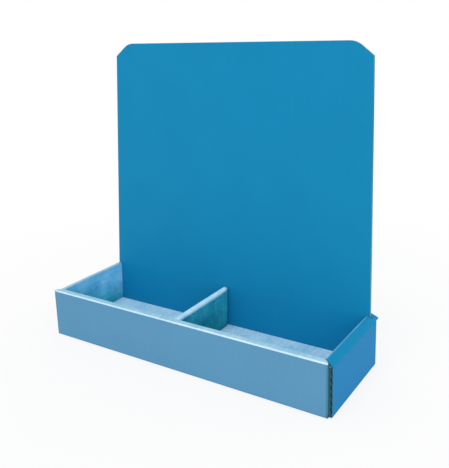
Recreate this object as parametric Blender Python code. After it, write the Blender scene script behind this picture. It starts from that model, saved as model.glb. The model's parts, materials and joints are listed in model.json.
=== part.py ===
"""Counter display of folded corrugated board: a low tray with rolled walls, a divider and a tall header card.

Metres, +Z up, +X to the right and -Y to the front. The origin is the middle of the overall box, on the base.
In the sizes and outlines below, depths are counted back from the tray's front face and heights up from the base.
"""
import math

import bmesh
import bpy
from mathutils import Matrix, Vector

# Board
BOARD = 0.0027
GAP = 0.0003
FOLD_LAND = 0.0005

# Tray
TRAY_WIDTH = 0.300
TRAY_HEIGHT = 0.0471
TRAY_DEPTH = 0.0977
FRONT_WALL_THICKNESS = 0.0070
SIDE_LIP_DROP = 0.0035
SIDE_REAR_SET_BACK = 0.0004
ROLL_END = 0.0046
FLAP_CLEARANCE = 0.0007
CRUSHED_FLAP = 0.0012

# Header card
HEADER_LEAN = math.radians(2.9)
HEADER_TOP = 0.2830
HEADER_SIDE_INSET = 0.0048
HEADER_TAPER = 0.0060
HEADER_CORNER_RUN = 0.0158
HEADER_CORNER_DROP = 0.0125
HEADER_CORNER_RADIUS = 0.0180
HEADER_TAB_WIDTH = 0.0320
HEADER_TAB_FROM_MIDDLE = 0.0800

# Divider
DIVIDER_FROM_MIDDLE = -0.0035
DIVIDER_DROP = 0.0020
DIVIDER_RIGHT_SET_BACK = 0.0030
DIVIDER_TAB_LENGTH = 0.0150
DIVIDER_TAB_FROM_END = 0.0150

# Facets
CORNER_STEPS = 8
FLAP_STEPS = 10
FOLD_SEGMENTS = 3
WELD_DISTANCE = 0.000001
EDGE_TOLERANCE = 0.000005
FLAT_ANGLE = math.radians(0.1)

# Creases: the boards meet at a mitre, open by the gap, and turn on the fold's outer corner
LAYER = BOARD + GAP
CREASE_GAP = GAP / math.sqrt(2)
BACK_CREASE_HALF_ANGLE = (math.pi / 2 + HEADER_LEAN) / 2
BACK_CREASE_GAP = GAP / 2 / math.sin(BACK_CREASE_HALF_ANGLE)
BACK_MITRE = BOARD / math.tan(BACK_CREASE_HALF_ANGLE)

# Layers from the side inwards
HALF_WIDTH = TRAY_WIDTH / 2
SIDE_WALL_X = HALF_WIDTH - BOARD
FLAP_OUTER_X = SIDE_WALL_X - GAP
FLAP_INNER_X = FLAP_OUTER_X - BOARD
INNER_WALL_OUTER_X = FLAP_INNER_X - GAP
INNER_WALL_X = INNER_WALL_OUTER_X - BOARD

# Layers from the base upwards
PAD_BOTTOM = LAYER
FLOOR_TOP = PAD_BOTTOM + LAYER
STRIP_BOTTOM = TRAY_HEIGHT - BOARD
WALL_TOP = STRIP_BOTTOM - GAP
DIVIDER_TOP = TRAY_HEIGHT - DIVIDER_DROP

# Lips on the side walls, which droop outwards
SIDE_WALL_HEIGHT = TRAY_HEIGHT - SIDE_LIP_DROP
LIP_RUN = HALF_WIDTH - INNER_WALL_X
LIP_WIDTH = math.hypot(LIP_RUN, SIDE_LIP_DROP)
LIP_TILT = math.atan2(SIDE_LIP_DROP, LIP_RUN)
LIP_OUTER_HALF_ANGLE = (math.pi / 2 + LIP_TILT) / 2
LIP_OUTER_GAP = GAP / 2 / math.sin(LIP_OUTER_HALF_ANGLE)
LIP_OUTER_MITRE = BOARD / math.tan(LIP_OUTER_HALF_ANGLE)
LIP_INNER_HALF_ANGLE = (math.pi / 2 - LIP_TILT) / 2
LIP_INNER_GAP = GAP / 2 / math.sin(LIP_INNER_HALF_ANGLE)
LIP_INNER_MITRE = BOARD / math.tan(LIP_INNER_HALF_ANGLE)
LIP_UNDERSIDE = SIDE_WALL_HEIGHT + LAYER * math.tan(LIP_TILT) - BOARD / math.cos(LIP_TILT)
FLAP_RADIUS = LIP_UNDERSIDE - GAP - FLAP_CLEARANCE

# Layers from the front backwards, at the height of the base where they lean
COMPARTMENT_FRONT = FRONT_WALL_THICKNESS + GAP
SLOPE = math.tan(HEADER_LEAN)
UP_THE_LEAN = 1 / math.cos(HEADER_LEAN)
BACK_WALL_Y = TRAY_DEPTH - BOARD * UP_THE_LEAN
HEADER_REAR_Y = BACK_WALL_Y - GAP
HEADER_FRONT_Y = HEADER_REAR_Y - BOARD * UP_THE_LEAN
SIDE_WALL_REAR = TRAY_DEPTH - SIDE_REAR_SET_BACK
OVERALL_DEPTH = HEADER_REAR_Y + HEADER_TOP * SLOPE

# Header card across, level with the side strips
HEADER_HALF_WIDTH = HALF_WIDTH - HEADER_SIDE_INSET

# Divider across
DIVIDER_LEFT_X = DIVIDER_FROM_MIDDLE - GAP / 2 - BOARD
DIVIDER_RIGHT_X = DIVIDER_FROM_MIDDLE + GAP / 2

# Colours
HEADER_BLUE = (0.010, 0.231, 0.445)
FRONT_BLUE = (0.112, 0.314, 0.509)
SIDE_BLUE = (0.031, 0.238, 0.503)
LINER_BLUE = (0.352, 0.584, 0.788)
INSIDE_BLUE = (0.141, 0.413, 0.604)
MATT = 0.6

# Directions
ACROSS = Vector((1, 0, 0))
BACK = Vector((0, 1, 0))
UP = Vector((0, 0, 1))
UP_LEANING = Vector((0, math.sin(HEADER_LEAN), math.cos(HEADER_LEAN)))
TRAY_PLACE = Matrix.Translation((0, -OVERALL_DEPTH / 2, 0))

for old in list(bpy.data.objects):
    bpy.data.objects.remove(old, do_unlink=True)

display = bpy.data.collections.new("counter_display")
bpy.context.scene.collection.children.link(display)


def print_material(name, color):
    """A matt printed board of one colour."""
    made = bpy.data.materials.new(name)
    made.use_nodes = True
    shader = made.node_tree.nodes["Principled BSDF"]
    shader.inputs["Base Color"].default_value = (*color, 1)
    shader.inputs["Roughness"].default_value = MATT
    shader.inputs["Metallic"].default_value = 0
    return made


def crease(name, parent, place):
    """An empty on a joint's axis, which carries the boards that move there."""
    made = bpy.data.objects.new(name, None)
    made.empty_display_size = LAYER
    display.objects.link(made)
    made.parent = parent
    made.matrix_world = TRAY_PLACE @ Matrix.Translation(place)
    bpy.context.view_layer.update()
    return made


def filled_outline(loops, thickness):
    """A mesh of a flat outline, with any further loops as holes, from height 0 to the thickness."""
    outline = bpy.data.curves.new("outline", "CURVE")
    outline.dimensions = "2D"
    outline.fill_mode = "BOTH"
    outline.extrude = thickness / 2
    for loop in loops:
        spline = outline.splines.new("POLY")
        spline.points.add(len(loop) - 1)
        spline.use_cyclic_u = True
        for point, (along, above) in zip(spline.points, loop):
            point.co = (along, above, 0, 1)
    drawn = bpy.data.objects.new("outline", outline)
    display.objects.link(drawn)
    evaluated = drawn.evaluated_get(bpy.context.evaluated_depsgraph_get())
    mesh = bpy.data.meshes.new_from_object(evaluated)
    bpy.data.objects.remove(drawn, do_unlink=True)
    bpy.data.curves.remove(outline)
    mesh.transform(Matrix.Translation((0, 0, thickness / 2)))
    return mesh


def board(name, parent, color, loops, place, along, above, thickness=BOARD, mitres=(), inside=0, folds=()):
    """A board whose outline lies along two directions; its thickness goes along their cross product.

    A mitre is a point on one edge of the outline and how far that edge is set in on the board's inside face,
    which lies at height 0 or at the board's thickness. A fold is a value of the outline's first number: the
    board's far edge there is rounded.
    """
    mesh = filled_outline(loops, thickness)
    shape = bmesh.new()
    shape.from_mesh(mesh)
    bmesh.ops.remove_doubles(shape, verts=shape.verts, dist=WELD_DISTANCE)
    bmesh.ops.recalc_face_normals(shape, faces=shape.faces)
    set_in_mitres(shape, mitres, inside)
    for fold in folds:
        round_fold(shape, fold)
    shape.to_mesh(mesh)
    shape.free()
    mesh.materials.append(print_material(name + "_print", color))
    made = bpy.data.objects.new(name, mesh)
    display.objects.link(made)
    made.parent = parent
    turned = Matrix((along, above, along.cross(above))).transposed().to_4x4()
    made.matrix_world = TRAY_PLACE @ Matrix.Translation(place) @ turned
    return made


def set_in_mitres(shape, mitres, inside):
    """Slope the edges that meet another board at a crease."""
    moves = []
    for vert in shape.verts:
        if abs(vert.co.z - inside) < EDGE_TOLERANCE:
            for point, set_in in mitres:
                across_edge = (vert.co.xy - Vector(point)).dot(Vector(set_in).normalized())
                if abs(across_edge) < EDGE_TOLERANCE:
                    moves.append((vert, Vector(set_in).to_3d()))
    for vert, move in moves:
        vert.co += move


def round_fold(shape, fold):
    """Round the long edge at one value of the outline's first number, on the board's far face."""
    def on_fold(vert):
        return abs(vert.co.x - fold) < EDGE_TOLERANCE and abs(vert.co.z - BOARD) < EDGE_TOLERANCE

    bmesh.ops.dissolve_limit(shape, angle_limit=FLAT_ANGLE, verts=shape.verts, edges=shape.edges)
    edges = [edge for edge in shape.edges if all(on_fold(vert) for vert in edge.verts)]
    bmesh.ops.bevel(
        shape, geom=edges, offset=BOARD - FOLD_LAND, segments=FOLD_SEGMENTS, profile=0.5, affect="EDGES"
    )


def rectangle(low, high):
    """The corners of a rectangle, anticlockwise."""
    return [low, (high[0], low[1]), high, (low[0], high[1])]


def mirrored(points):
    """An outline's right half, bottom to top, followed by its mirror image."""
    return points + [(-along, above) for along, above in reversed(points)]


def arc(centre, radius, start, end, steps):
    """Points on an arc between two angles."""
    points = []
    for step in range(steps + 1):
        angle = start + (end - start) * step / steps
        points.append((centre[0] + radius * math.cos(angle), centre[1] + radius * math.sin(angle)))
    return points


def rounded_corner(before, corner, after, radius):
    """Points of the arc that rounds a corner and runs smoothly into both of its edges."""
    to_before = (Vector(before) - Vector(corner)).normalized()
    to_after = (Vector(after) - Vector(corner)).normalized()
    half_angle = to_before.angle(to_after) / 2
    centre = Vector(corner) + (to_before + to_after).normalized() * radius / math.sin(half_angle)
    first = Vector(corner) + to_before * radius / math.tan(half_angle) - centre
    last = Vector(corner) + to_after * radius / math.tan(half_angle) - centre
    start = math.atan2(first.y, first.x)
    return arc(centre, radius, start, start + first.angle_signed(last) * -1, CORNER_STEPS)


def header_front(height):
    """Depth of the header card's front face at a height."""
    return HEADER_FRONT_Y + height * SLOPE


def header_rear(height):
    """Depth of the header card's rear face at a height."""
    return HEADER_REAR_Y + height * SLOPE


def corner_flap(name, parent, place, along, lean, thickness, inside):
    """A quarter-round flap: its wall's foot is at the origin, and depth is counted away from the wall."""
    slope = math.tan(lean)
    face = CREASE_GAP / math.cos(lean)
    spread = 1 + slope * slope
    top = (slope * face + math.sqrt(spread * FLAP_RADIUS ** 2 - face ** 2)) / spread
    start = math.asin(PAD_BOTTOM / FLAP_RADIUS)
    end = math.atan2(top, face - slope * top)
    foot = (face - slope * PAD_BOTTOM, PAD_BOTTOM)
    outline = [foot] + arc((0, 0), FLAP_RADIUS, start, end, FLAP_STEPS)
    mitre = (foot, (thickness * math.cos(lean), thickness * math.sin(lean)))
    board(
        name, parent, INSIDE_BLUE, [outline], place, along, UP, thickness=thickness,
        mitres=[mitre], inside=inside,
    )


def divider_tabs():
    """Front and rear end of each tab under the divider."""
    rear = header_front(FLOOR_TOP) - GAP - DIVIDER_RIGHT_SET_BACK
    starts = (COMPARTMENT_FRONT + DIVIDER_TAB_FROM_END, rear - DIVIDER_TAB_FROM_END - DIVIDER_TAB_LENGTH)
    return [(start, start + DIVIDER_TAB_LENGTH) for start in starts]


def header_tabs():
    """Left and right end of each tab at the foot of the header card."""
    middles = (-HEADER_TAB_FROM_MIDDLE, HEADER_TAB_FROM_MIDDLE)
    return [(middle - HEADER_TAB_WIDTH / 2, middle + HEADER_TAB_WIDTH / 2) for middle in middles]


def build_floor(parent):
    """The tray's base, notched at the back for the header's tabs, and the slotted pad on it."""
    front = CREASE_GAP
    rear = TRAY_DEPTH - BACK_CREASE_GAP
    notch = HEADER_FRONT_Y - GAP
    side = HALF_WIDTH - CREASE_GAP
    right_edge = [
        (FLAP_OUTER_X, front),
        (FLAP_OUTER_X, LAYER),
        (side, LAYER),
        (side, SIDE_WALL_REAR),
        (FLAP_OUTER_X, SIDE_WALL_REAR),
        (FLAP_OUTER_X, rear),
    ]
    left_edge = [(-across, depth) for across, depth in reversed(right_edge)]
    notches = []
    for left, right in reversed(header_tabs()):
        notches += [(right + GAP, rear), (right + GAP, notch), (left - GAP, notch), (left - GAP, rear)]
    mitres = [
        ((0, front), (0, BOARD)),
        ((0, rear), (0, -BACK_MITRE)),
        ((side, 0), (-BOARD, 0)),
        ((-side, 0), (BOARD, 0)),
    ]
    base = right_edge + notches + left_edge
    board("floor_panel", parent, LINER_BLUE, [base], Vector(), ACROSS, BACK, mitres=mitres, inside=BOARD)

    pad_rear = header_front(PAD_BOTTOM) - GAP
    pad = [rectangle((-INNER_WALL_OUTER_X, LAYER), (INNER_WALL_OUTER_X, pad_rear))]
    for tab_front, tab_back in divider_tabs():
        slot_left = DIVIDER_LEFT_X - GAP
        slot_right = DIVIDER_RIGHT_X + BOARD + GAP
        pad.append(rectangle((slot_left, tab_front - GAP), (slot_right, tab_back + GAP)))
    board("floor_pad", parent, LINER_BLUE, pad, UP * PAD_BOTTOM, ACROSS, BACK)


def build_front_wall(parent):
    """The rolled front wall, which folds down on the crease at its foot with its corner flaps."""
    pivot = crease("front_wall_crease", parent, Vector())
    top = TRAY_HEIGHT - CREASE_GAP
    side = FLAP_OUTER_X - CREASE_GAP
    outer = rectangle((-side, CREASE_GAP), (side, top))
    outer_mitres = [
        ((0, CREASE_GAP), (0, BOARD)),
        ((0, top), (0, -BOARD)),
        ((side, 0), (-BOARD, 0)),
        ((-side, 0), (BOARD, 0)),
    ]
    board("front_outer_wall", pivot, FRONT_BLUE, [outer], BACK * BOARD, ACROSS, UP, mitres=outer_mitres)

    front = CREASE_GAP
    rear = FRONT_WALL_THICKNESS - CREASE_GAP
    clear_of_swing = HALF_WIDTH - math.hypot(BOARD + CREASE_GAP, BOARD) - GAP
    strip = mirrored([(FLAP_OUTER_X - GAP, front), (clear_of_swing, LAYER), (INNER_WALL_X - GAP, rear)])
    strip_mitres = [((0, front), (0, BOARD)), ((0, rear), (0, -BOARD))]
    board("front_roll_strip", pivot, LINER_BLUE, [strip], UP * STRIP_BOTTOM, ACROSS, BACK, mitres=strip_mitres)

    inner = mirrored([
        (INNER_WALL_OUTER_X, FLOOR_TOP),
        (INNER_WALL_OUTER_X, FLAP_RADIUS),
        (INNER_WALL_X - GAP, FLAP_RADIUS),
        (INNER_WALL_X - GAP, top),
    ])
    board(
        "front_inner_wall", pivot, INSIDE_BLUE, [inner], BACK * FRONT_WALL_THICKNESS, ACROSS, UP,
        mitres=[((0, top), (0, -BOARD))], inside=BOARD,
    )

    corner_flap("front_left_flap", pivot, ACROSS * -FLAP_OUTER_X, BACK, 0, BOARD, BOARD)
    corner_flap("front_right_flap", pivot, ACROSS * FLAP_INNER_X, BACK, 0, BOARD, 0)


def build_back_wall(parent):
    """The low wall behind the header card, which folds down on the crease at its foot with its corner flaps.

    These flaps are crushed flat, because the header card runs down between them.
    """
    place = BACK * TRAY_DEPTH
    pivot = crease("back_wall_crease", parent, place)
    side = FLAP_OUTER_X - CREASE_GAP
    foot = BACK_CREASE_GAP
    wall = rectangle((-side, foot), (side, FLAP_RADIUS * UP_THE_LEAN))
    mitres = [((0, foot), (0, BACK_MITRE)), ((side, 0), (-BOARD, 0)), ((-side, 0), (BOARD, 0))]
    board("back_wall", pivot, HEADER_BLUE, [wall], place, ACROSS, UP_LEANING, mitres=mitres, inside=BOARD)

    forwards = BACK * -1
    left_place = place - ACROSS * (FLAP_OUTER_X - CRUSHED_FLAP)
    right_place = place + ACROSS * FLAP_OUTER_X
    corner_flap("back_left_flap", pivot, left_place, forwards, HEADER_LEAN, CRUSHED_FLAP, 0)
    corner_flap("back_right_flap", pivot, right_place, forwards, HEADER_LEAN, CRUSHED_FLAP, CRUSHED_FLAP)


def build_side_wall(parent, side, sign):
    """A side wall: its outer wall stands on the floor, and its strip and inner wall roll in over the flaps.

    The strip's outline is counted up the lip from its outer crease. The lip has a slot for the header card: its
    neck runs on beside the card, and its end lies behind the card.
    """
    foot = CREASE_GAP
    top = SIDE_WALL_HEIGHT - LIP_OUTER_GAP
    outer = rectangle((LAYER, foot), (SIDE_WALL_REAR, top))
    outer_x = min(sign * SIDE_WALL_X, sign * HALF_WIDTH)
    board(
        f"{side}_outer_wall", parent, SIDE_BLUE, [outer], ACROSS * outer_x, BACK, UP,
        mitres=[((0, foot), (0, BOARD)), ((0, top), (0, -LIP_OUTER_MITRE))], inside=0 if sign > 0 else BOARD,
    )

    roll_place = Vector((sign * HALF_WIDTH, 0, SIDE_WALL_HEIGHT))
    roll_pivot = crease(f"{side}_roll_crease", parent, roll_place)
    up_the_lip = Vector((-sign * math.cos(LIP_TILT), 0, math.sin(LIP_TILT)))
    out_of_lip = Vector((sign * math.sin(LIP_TILT), 0, math.cos(LIP_TILT)))
    strip_rear = header_front(SIDE_WALL_HEIGHT - BOARD) - GAP
    inner_edge = LIP_WIDTH - LIP_INNER_GAP
    neck_width = math.sqrt((HEADER_SIDE_INSET - GAP) ** 2 - BOARD ** 2)
    slot_rear = header_rear(SIDE_WALL_HEIGHT + LIP_WIDTH) + GAP
    strip = [
        (LIP_OUTER_GAP, LAYER),
        (LIP_OUTER_GAP, strip_rear),
        (inner_edge, strip_rear),
        (inner_edge, COMPARTMENT_FRONT),
    ]
    strip_mitres = [((LIP_OUTER_GAP, 0), (LIP_OUTER_MITRE, 0)), ((inner_edge, 0), (-LIP_INNER_MITRE, 0))]
    strip_place = roll_place if sign > 0 else roll_place - out_of_lip * BOARD
    board(
        f"{side}_roll_strip", roll_pivot, SIDE_BLUE, [strip], strip_place, up_the_lip, BACK,
        mitres=strip_mitres, inside=BOARD if sign > 0 else 0,
    )
    neck = rectangle((LIP_OUTER_GAP, strip_rear + GAP), (neck_width, slot_rear - GAP))
    end = rectangle((LIP_OUTER_GAP, slot_rear), (inner_edge, slot_rear + ROLL_END))
    for name, outline in (("neck", neck), ("end", end)):
        board(
            f"{side}_roll_{name}", roll_pivot, SIDE_BLUE, [outline], strip_place, up_the_lip, BACK,
            mitres=strip_mitres[:1], inside=BOARD if sign > 0 else 0,
        )

    inner_pivot = crease(f"{side}_inner_crease", roll_pivot, Vector((sign * INNER_WALL_X, 0, TRAY_HEIGHT)))
    inner_top = TRAY_HEIGHT - LIP_INNER_GAP
    inner = [
        (COMPARTMENT_FRONT, FLOOR_TOP),
        (header_front(FLOOR_TOP) - GAP, FLOOR_TOP),
        (header_front(WALL_TOP) - GAP, inner_top),
        (COMPARTMENT_FRONT, inner_top),
    ]
    inner_x = min(sign * INNER_WALL_X, sign * INNER_WALL_OUTER_X)
    board(
        f"{side}_inner_wall", inner_pivot, INSIDE_BLUE, [inner], ACROSS * inner_x, BACK, UP,
        mitres=[((0, inner_top), (0, -LIP_INNER_MITRE))], inside=BOARD if sign > 0 else 0,
    )


def build_header(parent):
    """The header card, which leans on the back wall and lifts out along its own plane."""
    place = BACK * HEADER_REAR_Y
    slide = crease("header_slide", parent, place)
    top = HEADER_TOP * UP_THE_LEAN
    foot = LAYER * UP_THE_LEAN
    tab_end = GAP * UP_THE_LEAN
    top_half_width = HEADER_HALF_WIDTH - HEADER_TAPER
    edge = [
        (HEADER_HALF_WIDTH, foot),
        (HEADER_HALF_WIDTH, WALL_TOP * UP_THE_LEAN),
        (top_half_width, top - HEADER_CORNER_DROP),
    ]
    corner_top = (top_half_width - HEADER_CORNER_RUN, top)
    corner = rounded_corner(edge[-1], corner_top, (0, top), HEADER_CORNER_RADIUS)
    tabs = []
    for left, right in header_tabs():
        tabs += [(left, foot), (left, tab_end), (right, tab_end), (right, foot)]
    outline = tabs + mirrored(edge + corner)
    board("header_card", slide, HEADER_BLUE, [outline], place, ACROSS, UP_LEANING)


def build_divider(parent):
    """The doubled divider, which lifts out of the pad's slots."""
    slide = crease("divider_slide", parent, Vector((DIVIDER_FROM_MIDDLE, COMPARTMENT_FRONT, FLOOR_TOP)))
    leaf_top = DIVIDER_TOP - LAYER
    leaves = (("left", DIVIDER_LEFT_X, 0), ("right", DIVIDER_RIGHT_X, DIVIDER_RIGHT_SET_BACK))
    for side, left_x, set_back in leaves:
        leaf = [(COMPARTMENT_FRONT, FLOOR_TOP)]
        for front, back in divider_tabs():
            leaf += [(front, FLOOR_TOP), (front, PAD_BOTTOM), (back, PAD_BOTTOM), (back, FLOOR_TOP)]
        leaf += [
            (header_front(FLOOR_TOP) - GAP - set_back, FLOOR_TOP),
            (header_front(leaf_top) - GAP - set_back, leaf_top),
            (COMPARTMENT_FRONT, leaf_top),
        ]
        board(f"divider_{side}_leaf", slide, INSIDE_BLUE, [leaf], ACROSS * left_x, BACK, UP)

    fold_bottom = DIVIDER_TOP - BOARD
    rear = header_front(fold_bottom) - GAP
    right_x = DIVIDER_RIGHT_X + BOARD
    fold = [
        (DIVIDER_LEFT_X, COMPARTMENT_FRONT),
        (right_x, COMPARTMENT_FRONT),
        (right_x, rear - DIVIDER_RIGHT_SET_BACK),
        (DIVIDER_LEFT_X, rear),
    ]
    board(
        "divider_top_fold", slide, LINER_BLUE, [fold], UP * fold_bottom, ACROSS, BACK,
        folds=[DIVIDER_LEFT_X, right_x],
    )


def build_display():
    """The whole display, with every board under one origin."""
    origin = crease("display_origin", None, Vector((0, OVERALL_DEPTH / 2, 0)))
    build_floor(origin)
    build_front_wall(origin)
    build_back_wall(origin)
    for side, sign in (("left", -1), ("right", 1)):
        build_side_wall(origin, side, sign)
    build_header(origin)
    build_divider(origin)


build_display()
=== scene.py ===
"""Looks of the counter display: every panel as corrugated board, with bent liners at its creases.

Metres, +Z up, +X to the right and -Y to the front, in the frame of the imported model.
"""
import json
import math
from types import SimpleNamespace

import bmesh
import bpy
from mathutils import Matrix, Vector


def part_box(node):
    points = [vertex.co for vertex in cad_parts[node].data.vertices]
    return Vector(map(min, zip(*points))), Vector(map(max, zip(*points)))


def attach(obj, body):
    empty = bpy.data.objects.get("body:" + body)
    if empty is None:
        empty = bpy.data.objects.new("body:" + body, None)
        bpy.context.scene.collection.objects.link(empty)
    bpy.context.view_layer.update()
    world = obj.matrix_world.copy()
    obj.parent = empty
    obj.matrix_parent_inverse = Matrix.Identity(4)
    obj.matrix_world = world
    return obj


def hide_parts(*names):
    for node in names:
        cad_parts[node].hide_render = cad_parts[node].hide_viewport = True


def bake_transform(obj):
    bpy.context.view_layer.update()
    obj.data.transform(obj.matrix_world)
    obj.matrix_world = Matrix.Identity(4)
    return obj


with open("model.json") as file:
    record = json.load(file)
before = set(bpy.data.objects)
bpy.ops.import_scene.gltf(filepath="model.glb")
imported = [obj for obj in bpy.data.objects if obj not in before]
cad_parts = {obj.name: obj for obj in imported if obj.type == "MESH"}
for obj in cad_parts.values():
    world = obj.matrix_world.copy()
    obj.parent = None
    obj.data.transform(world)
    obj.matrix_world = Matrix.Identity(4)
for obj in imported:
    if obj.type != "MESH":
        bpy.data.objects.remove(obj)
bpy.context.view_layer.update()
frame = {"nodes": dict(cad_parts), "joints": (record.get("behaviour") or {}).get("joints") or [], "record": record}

# Camera, fitted to the photograph
IMAGE_HEIGHT = 468
FOCAL_PIXELS = 648.696
LENS_ROW = 180.0
CAMERA_AZIMUTH = math.radians(33.101)
CAMERA_ELEVATION = math.radians(13.288)
CAMERA_ROLL = math.radians(-1.766)
CAMERA_DISTANCE = 0.579221
LOOK_FROM_MIDDLE = 0.019991
LOOK_FROM_FRONT = 0.060
LOOK_HEIGHT = 0.163951
SENSOR_MM = 36.0
CLIP_START = 0.01

# Light and stage
WORLD_LIGHT = 0.76
WHITE = (1, 1, 1, 1)
STAGE_GREY = (0.82, 0.82, 0.82, 1)
STAGE_HALF = 3.0
STAGE_DROP = 0.0002
STAGE_WHITE = 0.80
SHADOW_NEAR = 0.18
SHADOW_FAR = 0.55
KEY_LIGHT = {"place": (2.6, -3.4, 1.3), "look_at": (0, 0, 0.10), "size": 3.2, "power": 48}
TOP_LIGHT = {"place": (0.3, -1.1, 3.8), "look_at": (0, 0, 0.02), "size": 2.8, "power": 52}

# Corrugated board
LINER = 0.00028
MEDIUM = 0.00022
FLUTE_PITCH = 0.0064
POINTS_PER_FLUTE = 10
SPARE = 0.004
FACING_LIMIT = 0.9

# Creases
FOLD_RADIUS = 0.0012
FOLD_ARC_POINTS = 9
FOLD_POINT_SPACING = 0.004
FOLD_CRUMPLE = 0.00006
FOLD_ROUNDNESS = 1.0
FLAP_FOLD_TOP = 0.0015
DIVIDER_ROUNDNESS = 0.45
CRUSHED_INSET = 0.0004
LIP_PARTS = ("strip", "neck", "end")

# Grooves inside the creases that turn
GROOVE_RIM = 0.0021
GROOVE_FLOOR = 0.0015
GROOVE_WIDTH = 0.0002
GROOVE_INSET = 0.0006
GROOVE_PAPER = 0.00001

# Weld and cut
WELD = 0.000002
CUT_TOLERANCE = 0.0000005

# The screen's curve, from screen values to light
SCREEN_WHITE = 255
SCREEN_KNEE = 0.04045
SCREEN_SLOPE = 12.92
SCREEN_LIFT = 0.055
SCREEN_POWER = 2.4

# Finishes: each noise by its scale, detail and roughness, and the share or height that each pattern adds
NOISE_MIDDLE = 0.5
CRUMPLE = (160, 2.0, 0.5)
PRINT = SimpleNamespace(
    cloud=(22, 3, 0.5), cloud_share=0.5,
    grain=(1400, 3, 0.6), grain_share=0.35, grain_height=0.3,
    flute_share=0.02, flute_height=0.25,
    span=(0.25, 0.65), darkest=0.96, lightest=1.04,
    bump_strength=0.06, bump_distance=0.0002, roughness=0.50, roughness_swing=0.16, specular=0.08,
)
PAPER = SimpleNamespace(
    cloud=(55, 4, 0.6), cloud_share=0.9,
    speck=(520, 3, 0.7), speck_share=0.8, speck_height=0.6,
    fibre=(1.0, 2, 0.5), fibre_stretch=(700, 700, 2600), fibre_share=0.25, fibre_height=0.4,
    flute_share=0.03, flute_height=0.3,
    span=(0.72, 1.22),
    bump_strength=0.22, bump_distance=0.0003, roughness=0.72, roughness_swing=0.16, specular=0.12,
)
# Painted shadow low on the inner walls and the divider: its lower and upper heights, its wave, the slant that
# lifts it towards the front, and its mottle
PAINTED_SHADOW = SimpleNamespace(low=0.016, high=0.040, wave=0.014, slant=0.32, mottle=0.22)
CUT_EDGE = SimpleNamespace(
    fibre=(1900, 4, 0.7), span=(0.3, 0.7),
    bump_strength=0.3, bump_distance=0.0002, roughness=0.82, roughness_swing=0.1, specular=0.1,
)
# Painted shade: the front corner folds' ink is darkened by this factor against the light they catch
CORNER_SHADE = 0.70

# Directions
X_AXIS = Vector((1, 0, 0))
Y_AXIS = Vector((0, 1, 0))
Z_AXIS = Vector((0, 0, 1))
FORWARD = Y_AXIS * -1
DOWN = Z_AXIS * -1

# The imported model's bodies and joints
scene = bpy.context.scene
body_of_node = {}
for body_name, members in frame["record"]["behaviour"]["bodies"].items():
    for member in members:
        body_of_node[member] = body_name
joint_place = {joint["name"]: Vector(joint["pos_m"]) for joint in frame["joints"] if "pos_m" in joint}

# The tray's corners
front_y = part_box("front_outer_wall")[0][1]
rear_corner = joint_place["back_wall_fold"]
tray_middle_y = (front_y + rear_corner.y) / 2
tray_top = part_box("front_roll_strip")[1][2]
inner_front_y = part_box("front_inner_wall")[1][1]
flap_low, flap_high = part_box("front_right_flap")
flap_x = flap_high[0]
roll_corner = joint_place["right_roll_fold"]
inner_corner = joint_place["right_inner_fold"]
lip_run = inner_corner - roll_corner

# The header card's own plane
header_slide = next(joint for joint in frame["joints"] if joint["name"] == "header_lift")
LEAN_UP = Vector(header_slide["axis"]).normalized()
LEAN_FORWARD = X_AXIS.cross(LEAN_UP)


class Wire:
    """One socket of a node tree. Operators on it add Math nodes, and node() adds any other node."""

    def __init__(self, tree, socket=None):
        self.tree = tree
        self.socket = socket

    def node(self, kind, settings=None, sockets=None, output=0):
        """A new node: its settings come first, then the values and links of its sockets, by identifier."""
        made = self.tree.nodes.new(kind)
        for name, value in (settings or {}).items():
            setattr(made, name, value)
        for name, value in (sockets or {}).items():
            target = next(socket for socket in made.inputs if socket.identifier == name)
            for each in value if isinstance(value, list) else [value]:
                if isinstance(each, Wire):
                    self.tree.links.new(each.socket, target)
                else:
                    target.default_value = each
        return Wire(self.tree, made.outputs[output] if made.outputs else None)

    def maths(self, operation, *values):
        """A Math node on numbers or wires."""
        sockets = dict(zip(("Value", "Value_001", "Value_002"), values))
        return self.node("ShaderNodeMath", {"operation": operation}, sockets)

    def vector(self, operation, *values, output="Vector"):
        """A Vector Math node on vectors or wires."""
        sockets = dict(zip(("Vector", "Vector_001", "Vector_002"), values))
        return self.node("ShaderNodeVectorMath", {"operation": operation}, sockets, output)

    def times(self, factor):
        """This vector, scaled by a number or a wire."""
        return self.node("ShaderNodeVectorMath", {"operation": "SCALE"}, {"Vector": self, "Scale": factor})

    def dot(self, other):
        """The dot product of this vector and another."""
        return self.vector("DOT_PRODUCT", self, other, output="Value")

    def axis(self, letter):
        """This vector's number along X, Y or Z."""
        return self.node("ShaderNodeSeparateXYZ", sockets={"Vector": self}, output=letter)

    def blend(self, low, high):
        """A colour between two colours, with this wire as the share of the second."""
        color_result = 2
        sockets = {"Factor_Float": self, "A_Color": low, "B_Color": high}
        return self.node("ShaderNodeMix", {"data_type": "RGBA"}, sockets, color_result)

    def span(self, low, high):
        """This value's place between two limits, kept from 0 to 1."""
        sockets = {"Value": self, "From Min": low, "From Max": high}
        return self.node("ShaderNodeMapRange", {"clamp": True}, sockets)

    def __add__(self, other):
        return self.maths("ADD", self, other)

    def __radd__(self, other):
        return self.maths("ADD", other, self)

    def __sub__(self, other):
        return self.maths("SUBTRACT", self, other)

    def __rsub__(self, other):
        return self.maths("SUBTRACT", other, self)

    def __mul__(self, other):
        return self.maths("MULTIPLY", self, other)

    def __rmul__(self, other):
        return self.maths("MULTIPLY", other, self)

    def __truediv__(self, other):
        return self.maths("DIVIDE", self, other)

    def __rtruediv__(self, other):
        return self.maths("DIVIDE", other, self)

    def __gt__(self, other):
        return self.maths("GREATER_THAN", self, other)

    def __lt__(self, other):
        return self.maths("LESS_THAN", self, other)


# Materials

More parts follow.
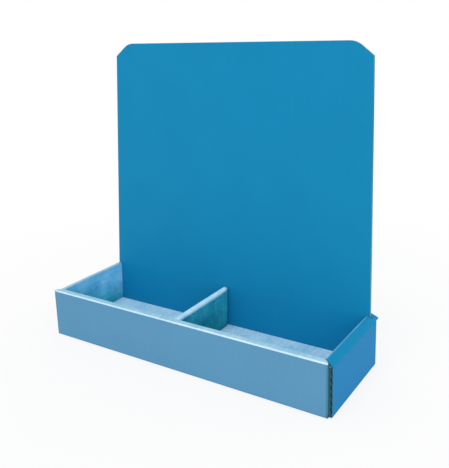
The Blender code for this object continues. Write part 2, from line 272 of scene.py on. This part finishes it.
def ink(red, green, blue):
    """A colour given in screen values from 0 to 255, as a linear colour."""
    def linear(value):
        value /= SCREEN_WHITE
        if value <= SCREEN_KNEE:
            return value / SCREEN_SLOPE
        return ((value + SCREEN_LIFT) / (1 + SCREEN_LIFT)) ** SCREEN_POWER

    return (linear(red), linear(green), linear(blue), 1)


def shaded(color, share):
    """A colour made darker or lighter by a factor."""
    return tuple(min(1, part * share) for part in color[:3]) + (1,)


def new_material(name):
    """An empty node material, and a wire into its tree."""
    made = bpy.data.materials.new(name)
    made.use_nodes = True
    made.node_tree.nodes.clear()
    return made, Wire(made.node_tree)


def close_material(tree, shader):
    """Join a shader to the material's output."""
    tree.node("ShaderNodeOutputMaterial", sockets={"Surface": shader})


def close_paper(tree, finish, base, height, roughness):
    """Join the colour, the relief and the roughness of a paper surface to the material's output."""
    bump = tree.node("ShaderNodeBump", sockets={
        "Height": height, "Strength": finish.bump_strength, "Distance": finish.bump_distance,
    })
    shader = tree.node("ShaderNodeBsdfPrincipled", sockets={
        "Base Color": base, "Roughness": roughness, "Normal": bump, "Specular IOR Level": finish.specular,
    })
    close_material(tree, shader)


def object_place(tree):
    """The place on the object."""
    return tree.node("ShaderNodeTexCoord", output="Object")


def noise(place, scale, detail, roughness):
    """Noise from 0 to 1 on a place."""
    sockets = {"Vector": place, "Scale": scale, "Detail": detail, "Roughness": roughness}
    return place.node("ShaderNodeTexNoise", sockets=sockets)


def washboard(place, across):
    """The flutes that show through a liner, as a wave along one axis."""
    number = place.axis(across)
    return number.maths("SINE", number * (2 * math.pi / FLUTE_PITCH))


def printed_board(name, color, across):
    """Smooth print on board: a thin even ink, with the flutes just showing through."""
    made, tree = new_material(name)
    place = object_place(tree)
    flutes = washboard(place, across)
    cloud = noise(place, *PRINT.cloud)
    grain = noise(place, *PRINT.grain)
    cover = cloud * PRINT.cloud_share + grain * PRINT.grain_share + flutes * PRINT.flute_share
    base = cover.span(*PRINT.span).blend(shaded(color, PRINT.darkest), shaded(color, PRINT.lightest))
    height = flutes * PRINT.flute_height + grain * PRINT.grain_height
    close_paper(tree, PRINT, base, height, PRINT.roughness + grain * PRINT.roughness_swing)
    return made


def mottled_liner(name, dark, light, across, foot=None):
    """Uncoated dyed paper: cloudy, with fibres and specks of both shades. A foot ink paints a shadow low down,
    higher towards the front.
    """
    made, tree = new_material(name)
    place = object_place(tree)
    flutes = washboard(place, across)
    cloud = noise(place, *PAPER.cloud)
    speck = noise(place, *PAPER.speck)
    stretched = tree.node("ShaderNodeMapping", sockets={"Vector": place, "Scale": PAPER.fibre_stretch})
    fibre = noise(stretched, *PAPER.fibre)
    patches = cloud * PAPER.cloud_share + speck * PAPER.speck_share
    shade = (patches + fibre * PAPER.fibre_share + flutes * PAPER.flute_share).span(*PAPER.span)
    base = shade.blend(dark, light)
    # Painted shadow: the foot ink below a wavy line that rises towards the front
    if foot:
        level = place.axis("Z") + (place.axis("Y") - tray_middle_y) * PAINTED_SHADOW.slant
        level = level + (cloud - NOISE_MIDDLE) * PAINTED_SHADOW.wave
        tint = shade.blend(shaded(foot, 1 - PAINTED_SHADOW.mottle), shaded(foot, 1 + PAINTED_SHADOW.mottle))
        base = level.span(PAINTED_SHADOW.low, PAINTED_SHADOW.high).blend(tint, base)
    height = speck * PAPER.speck_height + fibre * PAPER.fibre_height + flutes * PAPER.flute_height
    close_paper(tree, PAPER, base, height, PAPER.roughness + speck * PAPER.roughness_swing)
    return made


def raw_paper(name, dark, light):
    """The cut edge of the liners and the fluted middle."""
    made, tree = new_material(name)
    fibre = noise(object_place(tree), *CUT_EDGE.fibre)
    base = fibre.span(*CUT_EDGE.span).blend(dark, light)
    close_paper(tree, CUT_EDGE, base, fibre, CUT_EDGE.roughness + fibre * CUT_EDGE.roughness_swing)
    return made


# Inks and papers
header_blue = ink(16, 132, 178)
front_blue = ink(92, 149, 185)
header_print = printed_board("header_ink", header_blue, "X")
lip_print = printed_board("lip_ink", header_blue, "X")
front_print = printed_board("front_ink", front_blue, "X")
# Painted shade on the front corner folds, darker than the front's own ink
shaded_corner_print = printed_board("shaded_corner_ink", shaded(front_blue, CORNER_SHADE), "X")
side_print = printed_board("side_ink", ink(28, 132, 190), "Z")
# Painted shade: the flaps' outsides, in the gaps at the corners, are printed a dark teal
shaded_flap_print = printed_board("flap_ink", ink(40, 116, 138), "Y")
pale_liner = mottled_liner("pale_paper", ink(132, 194, 224), ink(200, 230, 248), "X")
strip_liner = mottled_liner("strip_paper", ink(134, 186, 208), ink(172, 212, 229), "X")
# Painted highlight: the front's top fold is a paler paper, for the bright line along it
highlight_crease_liner = mottled_liner("crease_paper", ink(178, 216, 237), ink(212, 236, 249), "X")
lip_crease = mottled_liner("lip_crease_paper", ink(74, 156, 188), ink(122, 188, 210), "Y")
# Painted highlight: the divider's top is paler than the same paper on its faces
divider_top_highlight = mottled_liner("divider_crease_paper", ink(156, 214, 240), ink(214, 240, 252), "Y")
wall_liner = mottled_liner("wall_paper", ink(84, 180, 222), ink(142, 214, 246), "X")
header_liner = mottled_liner("header_paper", ink(112, 188, 226), ink(132, 204, 238), "X")
# The foot inks of the next two papers are a painted shadow, low down and higher towards the front
inside_liner = mottled_liner(
    "inside_paper", ink(92, 190, 236), ink(156, 226, 255), "Z", foot=ink(44, 168, 188))
# Painted shade: the divider's paper is a dark teal on both faces, darker again low down
shaded_divider_liner = mottled_liner(
    "divider_paper", ink(14, 132, 156), ink(62, 186, 208), "Y", foot=ink(18, 126, 142))
raw_edge = raw_paper("raw_edge_paper", ink(84, 140, 162), ink(146, 188, 204))
# Painted shade: the outer side walls' cut edges, darker than the other cut edges
shaded_wall_edge = raw_paper("wall_edge_paper", ink(48, 104, 118), ink(88, 146, 160))


# Geometry node trees

def new_tree(name, inputs):
    """A geometry node tree with named inputs, and a wire for each of them."""
    tree = bpy.data.node_groups.new(name, "GeometryNodeTree")
    for socket_name, kind in inputs.items():
        tree.interface.new_socket(socket_name, in_out="INPUT", socket_type=kind)
    tree.interface.new_socket("Geometry", in_out="OUTPUT", socket_type="NodeSocketGeometry")
    entry = tree.nodes.new("NodeGroupInput")
    return Wire(tree), {socket_name: Wire(tree, entry.outputs[socket_name]) for socket_name in inputs}


def close_tree(tree, geometry):
    """Join the made geometry to the tree's output."""
    result = tree.tree.interface.items_tree["Geometry"].identifier
    tree.node("NodeGroupOutput", sockets={result: geometry})


def corrugated_board_tree():
    """Turns a solid panel into two liners on a fluted middle, cut by the panel's own outline."""
    tree, given = new_tree("corrugated_board", {
        "Panel": "NodeSocketGeometry",
        "Middle": "NodeSocketVector",
        "Turn": "NodeSocketRotation",
        "Facing": "NodeSocketVector",
        "Across flutes": "NodeSocketFloat",
        "Along flutes": "NodeSocketFloat",
        "Flute points": "NodeSocketInt",
        "Flute pitch": "NodeSocketFloat",
        "Thickness": "NodeSocketFloat",
        "Liner": "NodeSocketFloat",
        "Medium": "NodeSocketFloat",
        "Face": "NodeSocketMaterial",
        "Back": "NodeSocketMaterial",
        "Cut edge": "NodeSocketMaterial",
    })
    core_height = given["Thickness"] - given["Liner"] * 2
    sheet = tree.node("GeometryNodeMeshGrid", sockets={
        "Size X": given["Across flutes"], "Size Y": given["Along flutes"],
        "Vertices X": given["Flute points"], "Vertices Y": 2,
    })
    position = tree.node("GeometryNodeInputPosition")
    across = position.axis("X")
    wave = across.maths("SINE", across * (2 * math.pi) / given["Flute pitch"])
    rise = wave * (core_height - given["Medium"]) * 0.5 - given["Medium"] * 0.5
    lifted = tree.node("ShaderNodeCombineXYZ", sockets={"Z": rise})
    waved = tree.node("GeometryNodeSetPosition", sockets={"Geometry": sheet, "Offset": lifted})
    paper = tree.node("ShaderNodeCombineXYZ", sockets={"Z": given["Medium"]})
    raised = tree.node("GeometryNodeExtrudeMesh", sockets={
        "Mesh": waved, "Offset": paper, "Offset Scale": 1.0, "Individual": False,
    })
    under = tree.node("GeometryNodeFlipFaces", sockets={"Mesh": waved})
    medium = tree.node("GeometryNodeJoinGeometry", sockets={"Geometry": [raised, under]})
    medium = tree.node("GeometryNodeMergeByDistance", sockets={"Geometry": medium, "Distance": WELD})
    slab_size = tree.node("ShaderNodeCombineXYZ", sockets={
        "X": given["Across flutes"] + SPARE, "Y": given["Along flutes"] + SPARE, "Z": core_height,
    })
    slab = tree.node("GeometryNodeMeshCube", sockets={"Size": slab_size})
    placed = []
    for shape in (medium, slab):
        placed.append(tree.node("GeometryNodeTransform", sockets={
            "Geometry": shape, "Translation": given["Middle"], "Rotation": given["Turn"],
        }))
    core = tree.node("GeometryNodeMeshBoolean", {"operation": "INTERSECT", "solver": "MANIFOLD"}, {
        "Mesh 2": [given["Panel"], placed[0]],
    })
    liners = tree.node("GeometryNodeMeshBoolean", {"operation": "DIFFERENCE", "solver": "MANIFOLD"}, {
        "Mesh 1": given["Panel"], "Mesh 2": placed[1],
    })
    whole = tree.node("GeometryNodeJoinGeometry", sockets={"Geometry": [liners, core]})
    whole = tree.node("GeometryNodeRealizeInstances", sockets={"Geometry": whole})
    whole = tree.node("GeometryNodeSetMaterial", sockets={"Geometry": whole, "Material": given["Cut edge"]})
    level = position.vector("SUBTRACT", position, given["Middle"]).dot(given["Facing"])
    turned = tree.node("GeometryNodeInputNormal").dot(given["Facing"])
    outside = (given["Thickness"] - given["Liner"]) * 0.5
    for side, finish in ((1, "Face"), (-1, "Back")):
        chosen = (turned * side > FACING_LIMIT) * (level * side > outside)
        whole = tree.node("GeometryNodeSetMaterial", sockets={
            "Geometry": whole, "Selection": chosen, "Material": given[finish],
        })
    close_tree(tree, whole)
    return tree.tree


def folded_liner_tree():
    """A liner bent round a crease, on an arc between the two edges of the boards that meet there."""
    tree, given = new_tree("folded_liner", {
        "Panel": "NodeSocketGeometry",
        "First start": "NodeSocketVector",
        "First end": "NodeSocketVector",
        "Second start": "NodeSocketVector",
        "Second end": "NodeSocketVector",
        "Out of first": "NodeSocketVector",
        "Over the fold": "NodeSocketVector",
        "Radius": "NodeSocketFloat",
        "Sweep": "NodeSocketFloat",
        "Roundness": "NodeSocketFloat",
        "Points along": "NodeSocketInt",
        "Crumple": "NodeSocketFloat",
        "Skin": "NodeSocketMaterial",
    })
    sheet = tree.node("GeometryNodeMeshGrid", sockets={
        "Size X": 1.0, "Size Y": 1.0, "Vertices X": given["Points along"], "Vertices Y": FOLD_ARC_POINTS,
    })
    position = tree.node("GeometryNodeInputPosition")
    along = position.axis("X") + 0.5
    around = position.axis("Y") + 0.5
    first_run = tree.vector("SUBTRACT", given["First end"], given["First start"]).times(along)
    first = tree.vector("ADD", given["First start"], first_run)
    second_run = tree.vector("SUBTRACT", given["Second end"], given["Second start"]).times(along)
    second = tree.vector("ADD", given["Second start"], second_run)
    centre = tree.vector("ADD", first, tree.vector("SUBTRACT", second, first).times(around))
    angle = around * given["Sweep"]
    shares = []
    for wave in (angle.maths("COSINE", angle), angle.maths("SINE", angle)):
        size = wave.maths("POWER", wave.maths("ABSOLUTE", wave), given["Roundness"])
        shares.append(size * wave.maths("SIGN", wave))
    sideways = given["Out of first"].times(shares[0])
    outward = tree.vector("ADD", sideways, given["Over the fold"].times(shares[1]))
    dents = noise(centre, *CRUMPLE) - NOISE_MIDDLE
    belly = around.maths("SINE", around * math.pi)
    reach = given["Radius"] + dents * belly * given["Crumple"] - given["Crumple"] * belly * 0.5
    bent = tree.node("GeometryNodeSetPosition", sockets={
        "Geometry": sheet, "Position": tree.vector("ADD", centre, outward.times(reach)),
    })
    bent = tree.node("GeometryNodeRealizeInstances", sockets={"Geometry": bent})
    bent = tree.node("GeometryNodeSetMaterial", sockets={"Geometry": bent, "Material": given["Skin"]})
    close_tree(tree, bent)
    return tree.tree


corrugated_board = corrugated_board_tree()
folded_liner = folded_liner_tree()


def grown(name, mesh, tree, values, paper=0.0):
    """Run a geometry node tree on a mesh with its named inputs, and keep the result as a plain piece."""
    base = bpy.data.objects.new(name + "_base", mesh)
    scene.collection.objects.link(base)
    modifier = base.modifiers.new(tree.name, "NODES")
    modifier.node_group = tree
    for item in tree.interface.items_tree:
        if item.in_out == "INPUT" and item.name in values:
            modifier[item.identifier] = values[item.name]
    if paper:
        solid = base.modifiers.new("paper", "SOLIDIFY")
        solid.thickness = paper
        solid.offset = -1
    result = bpy.data.meshes.new_from_object(base.evaluated_get(bpy.context.evaluated_depsgraph_get()))
    bpy.data.objects.remove(base, do_unlink=True)
    piece = bpy.data.objects.new(name, result)
    scene.collection.objects.link(piece)
    return piece


def smooth_outwards(piece):
    """Weld a piece's doubles, turn its faces outwards and shade it smooth."""
    shape = bmesh.new()
    shape.from_mesh(piece.data)
    bmesh.ops.remove_doubles(shape, verts=shape.verts, dist=WELD)
    bmesh.ops.recalc_face_normals(shape, faces=shape.faces)
    for face in shape.faces:
        face.smooth = True
    shape.to_mesh(piece.data)
    shape.free()


# Creases

class Crease:
    """A fold where two boards meet: its corner line, and the way along each of the two faces."""

    def __init__(self, name, start, end, first, second, boards):
        self.name = name
        self.start = start
        self.end = end
        self.first = first.normalized()
        self.second = second.normalized()
        self.boards = boards
        self.bodies = [body_of_node[board] for board in boards[:2]]
        self.angle = self.first.angle(self.second)
        self.inward = (self.first + self.second).normalized()
        self.tangent = FOLD_RADIUS / math.tan(self.angle / 2)

    def turns(self):
        """Whether the crease is a joint."""
        return self.bodies[0] != self.bodies[1]

    def centre(self, place):
        """The middle of the fold's arc, beside a place on the corner line."""
        return place + self.inward * (FOLD_RADIUS / math.sin(self.angle / 2))

    def out_of_first(self):
        """The way out of the first board's face."""
        across = self.second - self.first * self.second.dot(self.first)
        return across.normalized() * -1


def list_creases():
    """Every crease of the tray's blank: those of the front and back, and those of each side."""
    listed = []

    def add(name, start, end, first, second, *boards):
        listed.append(Crease(name, start, end, first, second, boards))

    front_left = Vector((-flap_x, front_y, 0))
    front_right = Vector((flap_x, front_y, 0))
    rise = Z_AXIS * tray_top
    add("front_foot_fold", front_left, front_right, Y_AXIS, Z_AXIS, "floor_panel", "front_outer_wall")
    add("front_top_fold", front_left + rise, front_right + rise, DOWN, Y_AXIS,
        "front_outer_wall", "front_roll_strip")
    strip_left = Vector((-inner_corner.x, inner_front_y, tray_top))
    strip_right = Vector((inner_corner.x, inner_front_y, tray_top))
    add("front_inner_fold", strip_left, strip_right, FORWARD, DOWN, "front_roll_strip", "front_inner_wall")
    back_left = Vector((-flap_x, rear_corner.y, 0))
    back_right = Vector((flap_x, rear_corner.y, 0))
    add("back_foot_fold", back_left, back_right, FORWARD, LEAN_UP, "floor_panel", "back_wall")
    for side, sign in (("left", -1), ("right", 1)):
        to_middle = X_AXIS * -sign
        corner = Vector((sign * flap_x, front_y, 0))
        start = corner + Z_AXIS * FOLD_RADIUS
        end = corner + (rise - Z_AXIS * FOLD_RADIUS)
        add(f"front_{side}_fold", start, end, to_middle, Y_AXIS, "front_outer_wall", f"front_{side}_flap")
        corner = Vector((sign * flap_x, rear_corner.y, 0))
        start = corner + LEAN_UP * flap_low[2]
        end = corner + LEAN_UP * (flap_high[2] - FLAP_FOLD_TOP)
        add(f"back_{side}_fold", start, end, to_middle, LEAN_FORWARD, "back_wall", f"back_{side}_flap")
        wall_low, wall_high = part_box(f"{side}_outer_wall")
        foot = Vector((sign * roll_corner.x, 0, 0))
        start = foot + Y_AXIS * wall_low[1]
        end = foot + Y_AXIS * wall_high[1]
        add(f"{side}_foot_fold", start, end, to_middle, Z_AXIS, "floor_panel", f"{side}_outer_wall")
        lip_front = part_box(f"{side}_roll_strip")[0][1]
        lip_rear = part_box(f"{side}_roll_end")[1][1]
        lip_boards = [f"{side}_roll_{part}" for part in LIP_PARTS]
        up_the_lip = Vector((sign * lip_run.x, 0, lip_run.z))
        head = foot + Z_AXIS * roll_corner.z
        start = head + Y_AXIS * lip_front
        end = head + Y_AXIS * lip_rear
        add(f"{side}_roll_fold", start, end, DOWN, up_the_lip, f"{side}_outer_wall", *lip_boards)
        inner_low, inner_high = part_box(f"{side}_inner_wall")
        inside = head + up_the_lip
        start = inside + Y_AXIS * inner_low[1]
        end = inside + Y_AXIS * inner_high[1]
        add(f"{side}_inner_fold", start, end, up_the_lip * -1, DOWN,
            f"{side}_roll_strip", f"{side}_inner_wall")
    return listed


creases = list_creases()


# Boards

def panel_copy(node):
    """A welded copy of a panel, with its corners cut back where a folded liner goes round them."""
    shape = bmesh.new()
    shape.from_mesh(frame["nodes"][node].data)
    bmesh.ops.remove_doubles(shape, verts=shape.verts, dist=WELD)
    for fold in creases:
        if node in fold.boards:
            cut = fold.start + fold.inward * fold.tangent * math.cos(fold.angle / 2)
            everything = shape.verts[:] + shape.edges[:] + shape.faces[:]
            bmesh.ops.bisect_plane(
                shape, geom=everything, dist=CUT_TOLERANCE, plane_co=cut, plane_no=fold.inward * -1,
                clear_outer=True,
            )
            open_edges = [edge for edge in shape.edges if edge.is_boundary]
            bmesh.ops.holes_fill(shape, edges=open_edges)
    bmesh.ops.recalc_face_normals(shape, faces=shape.faces)
    mesh = bpy.data.meshes.new(node + "_panel")
    shape.to_mesh(mesh)
    shape.free()
    return mesh


def make_board(node, across, along, face, back, edge=raw_edge):
    """A panel as corrugated board. Its face looks along the cross product of the flutes' two directions."""
    facing = across.cross(along).normalized()
    mesh = panel_copy(node)
    spans = []
    for direction in (across, along, facing):
        reach = [vert.co.dot(direction) for vert in mesh.vertices]
        spans.append((min(reach), max(reach)))
    middle = Vector()
    for direction, (low, high) in zip((across, along, facing), spans):
        middle += direction * (low + high) / 2
    sizes = [high - low for low, high in spans]
    turn = Matrix((across, along, facing)).transposed().to_euler()
    flutes = math.ceil((sizes[0] + SPARE) / FLUTE_PITCH)
    piece = grown(node + "_board", mesh, corrugated_board, {
        "Middle": middle,
        "Turn": turn,
        "Facing": facing,
        "Across flutes": flutes * FLUTE_PITCH,
        "Along flutes": sizes[1] + SPARE,
        "Flute points": flutes * POINTS_PER_FLUTE + 1,
        "Flute pitch": FLUTE_PITCH,
        "Thickness": sizes[2],
        "Liner": LINER,
        "Medium": MEDIUM,
        "Face": face,
        "Back": back,
        "Cut edge": edge,
    })
    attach(piece, body_of_node[node])
    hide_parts(node)


def bent_liner(name, first, second, out, over, radius, sweep, roundness, skin, paper):
    """A liner bent from one edge to another, with its thickness on the inside of the bend."""
    if (first[1] - first[0]).cross(over).dot(out) < 0:
        first = first[::-1]
        second = second[::-1]
    piece = grown(name, bpy.data.meshes.new(name), folded_liner, {
        "First start": first[0],
        "First end": first[1],
        "Second start": second[0],
        "Second end": second[1],
        "Out of first": out,
        "Over the fold": over,
        "Radius": radius,
        "Sweep": sweep,
        "Roundness": roundness,
        "Points along": max(2, round((first[1] - first[0]).length / FOLD_POINT_SPACING)),
        "Crumple": FOLD_CRUMPLE,
        "Skin": skin,
    }, paper=paper)
    smooth_outwards(piece)
    return piece


def make_fold(fold, skin):
    """The liner over a crease, on the first board's body; on a joint it stays in place, on no body."""
    line = [fold.centre(fold.start), fold.centre(fold.end)]
    piece = bent_liner(
        fold.name, line, line, fold.out_of_first(), fold.first * -1, FOLD_RADIUS, math.pi - fold.angle,
        FOLD_ROUNDNESS, skin, LINER)
    if fold.turns():
        start = fold.start + fold.first * fold.tangent
        end = fold.start + fold.second * fold.tangent
        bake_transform(piece)
    else:
        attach(piece, fold.bodies[0])


def make_groove(fold):
    """The inner liner pressed into a crease: it lies in the closed mitre, on no body."""
    across = (fold.second - fold.first).normalized() * GROOVE_WIDTH / 2
    inset = (fold.end - fold.start).normalized() * GROOVE_INSET
    rim = GROOVE_RIM / math.sin(fold.angle / 2)
    line = [fold.start + fold.inward * rim + inset, fold.end + fold.inward * rim - inset]
    radius = across.length
    hollow = fold.inward * ((GROOVE_FLOOR - rim) / radius)
    name = fold.name.replace("_fold", "_groove")
    piece = bent_liner(
        name, line, line, across.normalized() * -1, hollow, radius, math.pi, FOLD_ROUNDNESS, pale_liner,
        GROOVE_PAPER)
    start = line[0] - across
    end = line[0] + across
    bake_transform(piece)


def make_divider_fold():
    """The divider's top: one liner bent right over both leaves, on a crushed middle."""
    low, high = (Vector(corner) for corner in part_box("divider_top_fold"))
    radius = (high.x - low.x) / 2
    rear_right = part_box("divider_right_leaf")[1][1]
    middle = Vector(((low.x + high.x) / 2, 0, high.z - radius))
    layers = (
        ("divider_fold", 0, LINER, 0, divider_top_highlight),
        ("divider_crushed_middle", LINER, radius - LINER * 2, CRUSHED_INSET, raw_edge),
    )
    for name, depth, paper, inset, skin in layers:
        front = middle + Y_AXIS * (low.y + inset)
        first = [front, middle + Y_AXIS * (high.y - inset)]
        second = [front, middle + Y_AXIS * (rear_right - inset)]
        piece = bent_liner(
            name, first, second, X_AXIS * -1, Z_AXIS, radius - depth, math.pi, DIVIDER_ROUNDNESS, skin,
            paper)
        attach(piece, body_of_node["divider_top_fold"])
        if not depth:
            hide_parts("divider_top_fold")


make_board("header_card", X_AXIS, LEAN_UP, header_print, header_liner)
make_board("back_wall", X_AXIS, LEAN_UP, wall_liner, side_print)
make_board("front_outer_wall", X_AXIS, Z_AXIS, front_print, pale_liner)
make_board("front_roll_strip", X_AXIS, Y_AXIS, strip_liner, pale_liner)
make_board("front_inner_wall", X_AXIS, Z_AXIS, pale_liner, wall_liner)
make_board("floor_panel", X_AXIS, Y_AXIS, pale_liner, side_print)
make_board("floor_pad", X_AXIS, Y_AXIS, pale_liner, pale_liner)
for side, lip in (("left", strip_liner), ("right", lip_print)):
    outer = (side_print, pale_liner)
    inner = (pale_liner, inside_liner)
    flap = (pale_liner, shaded_flap_print)
    lip_rise = lip_run.z
    if side == "right":
        outer = outer[::-1]
        inner = inner[::-1]
        flap = flap[::-1]
        lip_rise = -lip_run.z
    make_board(f"{side}_outer_wall", Z_AXIS, Y_AXIS, *outer, edge=shaded_wall_edge)
    make_board(f"{side}_inner_wall", Z_AXIS, Y_AXIS, *inner)
    lip_across = Vector((abs(lip_run.x), 0, lip_rise)).normalized()
    for part in LIP_PARTS:
        make_board(f"{side}_roll_{part}", lip_across, Y_AXIS, lip, pale_liner)
    for end in ("front", "back"):
        make_board(f"{end}_{side}_flap", Y_AXIS, Z_AXIS, *flap)
    make_board(f"divider_{side}_leaf", Y_AXIS, Z_AXIS, shaded_divider_liner, shaded_divider_liner)

make_divider_fold()

fold_skins = {
    "front_top_fold": highlight_crease_liner,
    "front_inner_fold": strip_liner,
    "left_roll_fold": strip_liner,
    "left_inner_fold": strip_liner,
    "right_roll_fold": lip_print,
    "right_inner_fold": lip_crease,
    "front_left_fold": shaded_corner_print,
    "front_right_fold": shaded_corner_print,
}
for fold in creases:
    make_fold(fold, fold_skins.get(fold.name, side_print))
    if fold.turns():
        make_groove(fold)


# Camera, light and stage

def place_camera():
    """The camera at the photograph's place, with its roll and its framing."""
    back = Vector((
        math.sin(CAMERA_AZIMUTH) * math.cos(CAMERA_ELEVATION),
        -math.cos(CAMERA_AZIMUTH) * math.cos(CAMERA_ELEVATION),
        math.sin(CAMERA_ELEVATION),
    ))
    right = Z_AXIS.cross(back).normalized()
    up = back.cross(right)
    rolled_right = right * math.cos(CAMERA_ROLL) + up * math.sin(CAMERA_ROLL)
    rolled_up = up * math.cos(CAMERA_ROLL) - right * math.sin(CAMERA_ROLL)
    target = Vector((LOOK_FROM_MIDDLE, front_y + LOOK_FROM_FRONT, LOOK_HEIGHT))
    data = bpy.data.cameras.new("camera")
    data.sensor_fit = "AUTO"
    data.sensor_width = SENSOR_MM
    data.lens = FOCAL_PIXELS * SENSOR_MM / IMAGE_HEIGHT
    data.shift_y = -(IMAGE_HEIGHT / 2 - LENS_ROW) / IMAGE_HEIGHT
    data.clip_start = CLIP_START
    camera = bpy.data.objects.new("camera", data)
    turn = Matrix((rolled_right, rolled_up, back)).transposed().to_4x4()
    camera.matrix_world = Matrix.Translation(target + back * CAMERA_DISTANCE) @ turn
    scene.collection.objects.link(camera)
    scene.camera = camera


def soft_light(name, place, look_at, size, power):
    """A square area lamp that looks at a place."""
    data = bpy.data.lights.new(name, "AREA")
    data.size = size
    data.energy = power
    lamp = bpy.data.objects.new(name, data)
    direction = Vector(look_at) - Vector(place)
    lamp.matrix_world = Matrix.Translation(place) @ direction.to_track_quat("-Z", "Y").to_matrix().to_4x4()
    scene.collection.objects.link(lamp)


def shown_rays(tree):
    """1 for a ray from the camera, or one that a gloss or a glass sends on, and 0 for all other light."""
    shown = tree.node("ShaderNodeLightPath", output="Is Camera Ray")
    for ray in ("Is Glossy Ray", "Is Transmission Ray"):
        shown = shown.maths("MAXIMUM", shown, tree.node("ShaderNodeLightPath", output=ray))
    return shown


def light_world():
    """Even white light all round, and a white background for the camera."""
    world = bpy.data.worlds.new("studio")
    world.use_nodes = True
    world.node_tree.nodes.clear()
    tree = Wire(world.node_tree)
    strength = shown_rays(tree) * (1 - WORLD_LIGHT) + WORLD_LIGHT
    shader = tree.node("ShaderNodeBackground", sockets={"Color": WHITE, "Strength": strength})
    tree.node("ShaderNodeOutputWorld", sockets={"Surface": shader})
    scene.world = world


def lay_floor():
    """A plain white floor that keeps a soft shadow of the display."""
    shape = bmesh.new()
    bmesh.ops.create_grid(shape, x_segments=1, y_segments=1, size=STAGE_HALF)
    mesh = bpy.data.meshes.new("stage_floor")
    shape.to_mesh(mesh)
    shape.free()
    mesh.transform(Matrix.Translation((0, 0, -STAGE_DROP)))
    floor = bpy.data.objects.new("stage_floor", mesh)
    scene.collection.objects.link(floor)
    made, tree = new_material("stage_white")
    matt = tree.node("ShaderNodeBsdfDiffuse", sockets={"Color": STAGE_GREY})
    white = tree.node("ShaderNodeEmission", sockets={"Color": WHITE, "Strength": 1.0})
    place = object_place(tree)
    away = place.vector("LENGTH", place, output="Value").span(SHADOW_NEAR, SHADOW_FAR)
    whiteness = shown_rays(tree) * (STAGE_WHITE + away * (1 - STAGE_WHITE))
    both = tree.node("ShaderNodeMixShader", sockets={"Fac": whiteness, "Shader": matt, "Shader_001": white})
    close_material(tree, both)
    mesh.materials.append(made)


place_camera()
light_world()
lay_floor()
soft_light("key_light", **KEY_LIGHT)
soft_light("top_light", **TOP_LIGHT)

scene.view_settings.view_transform = "Standard"
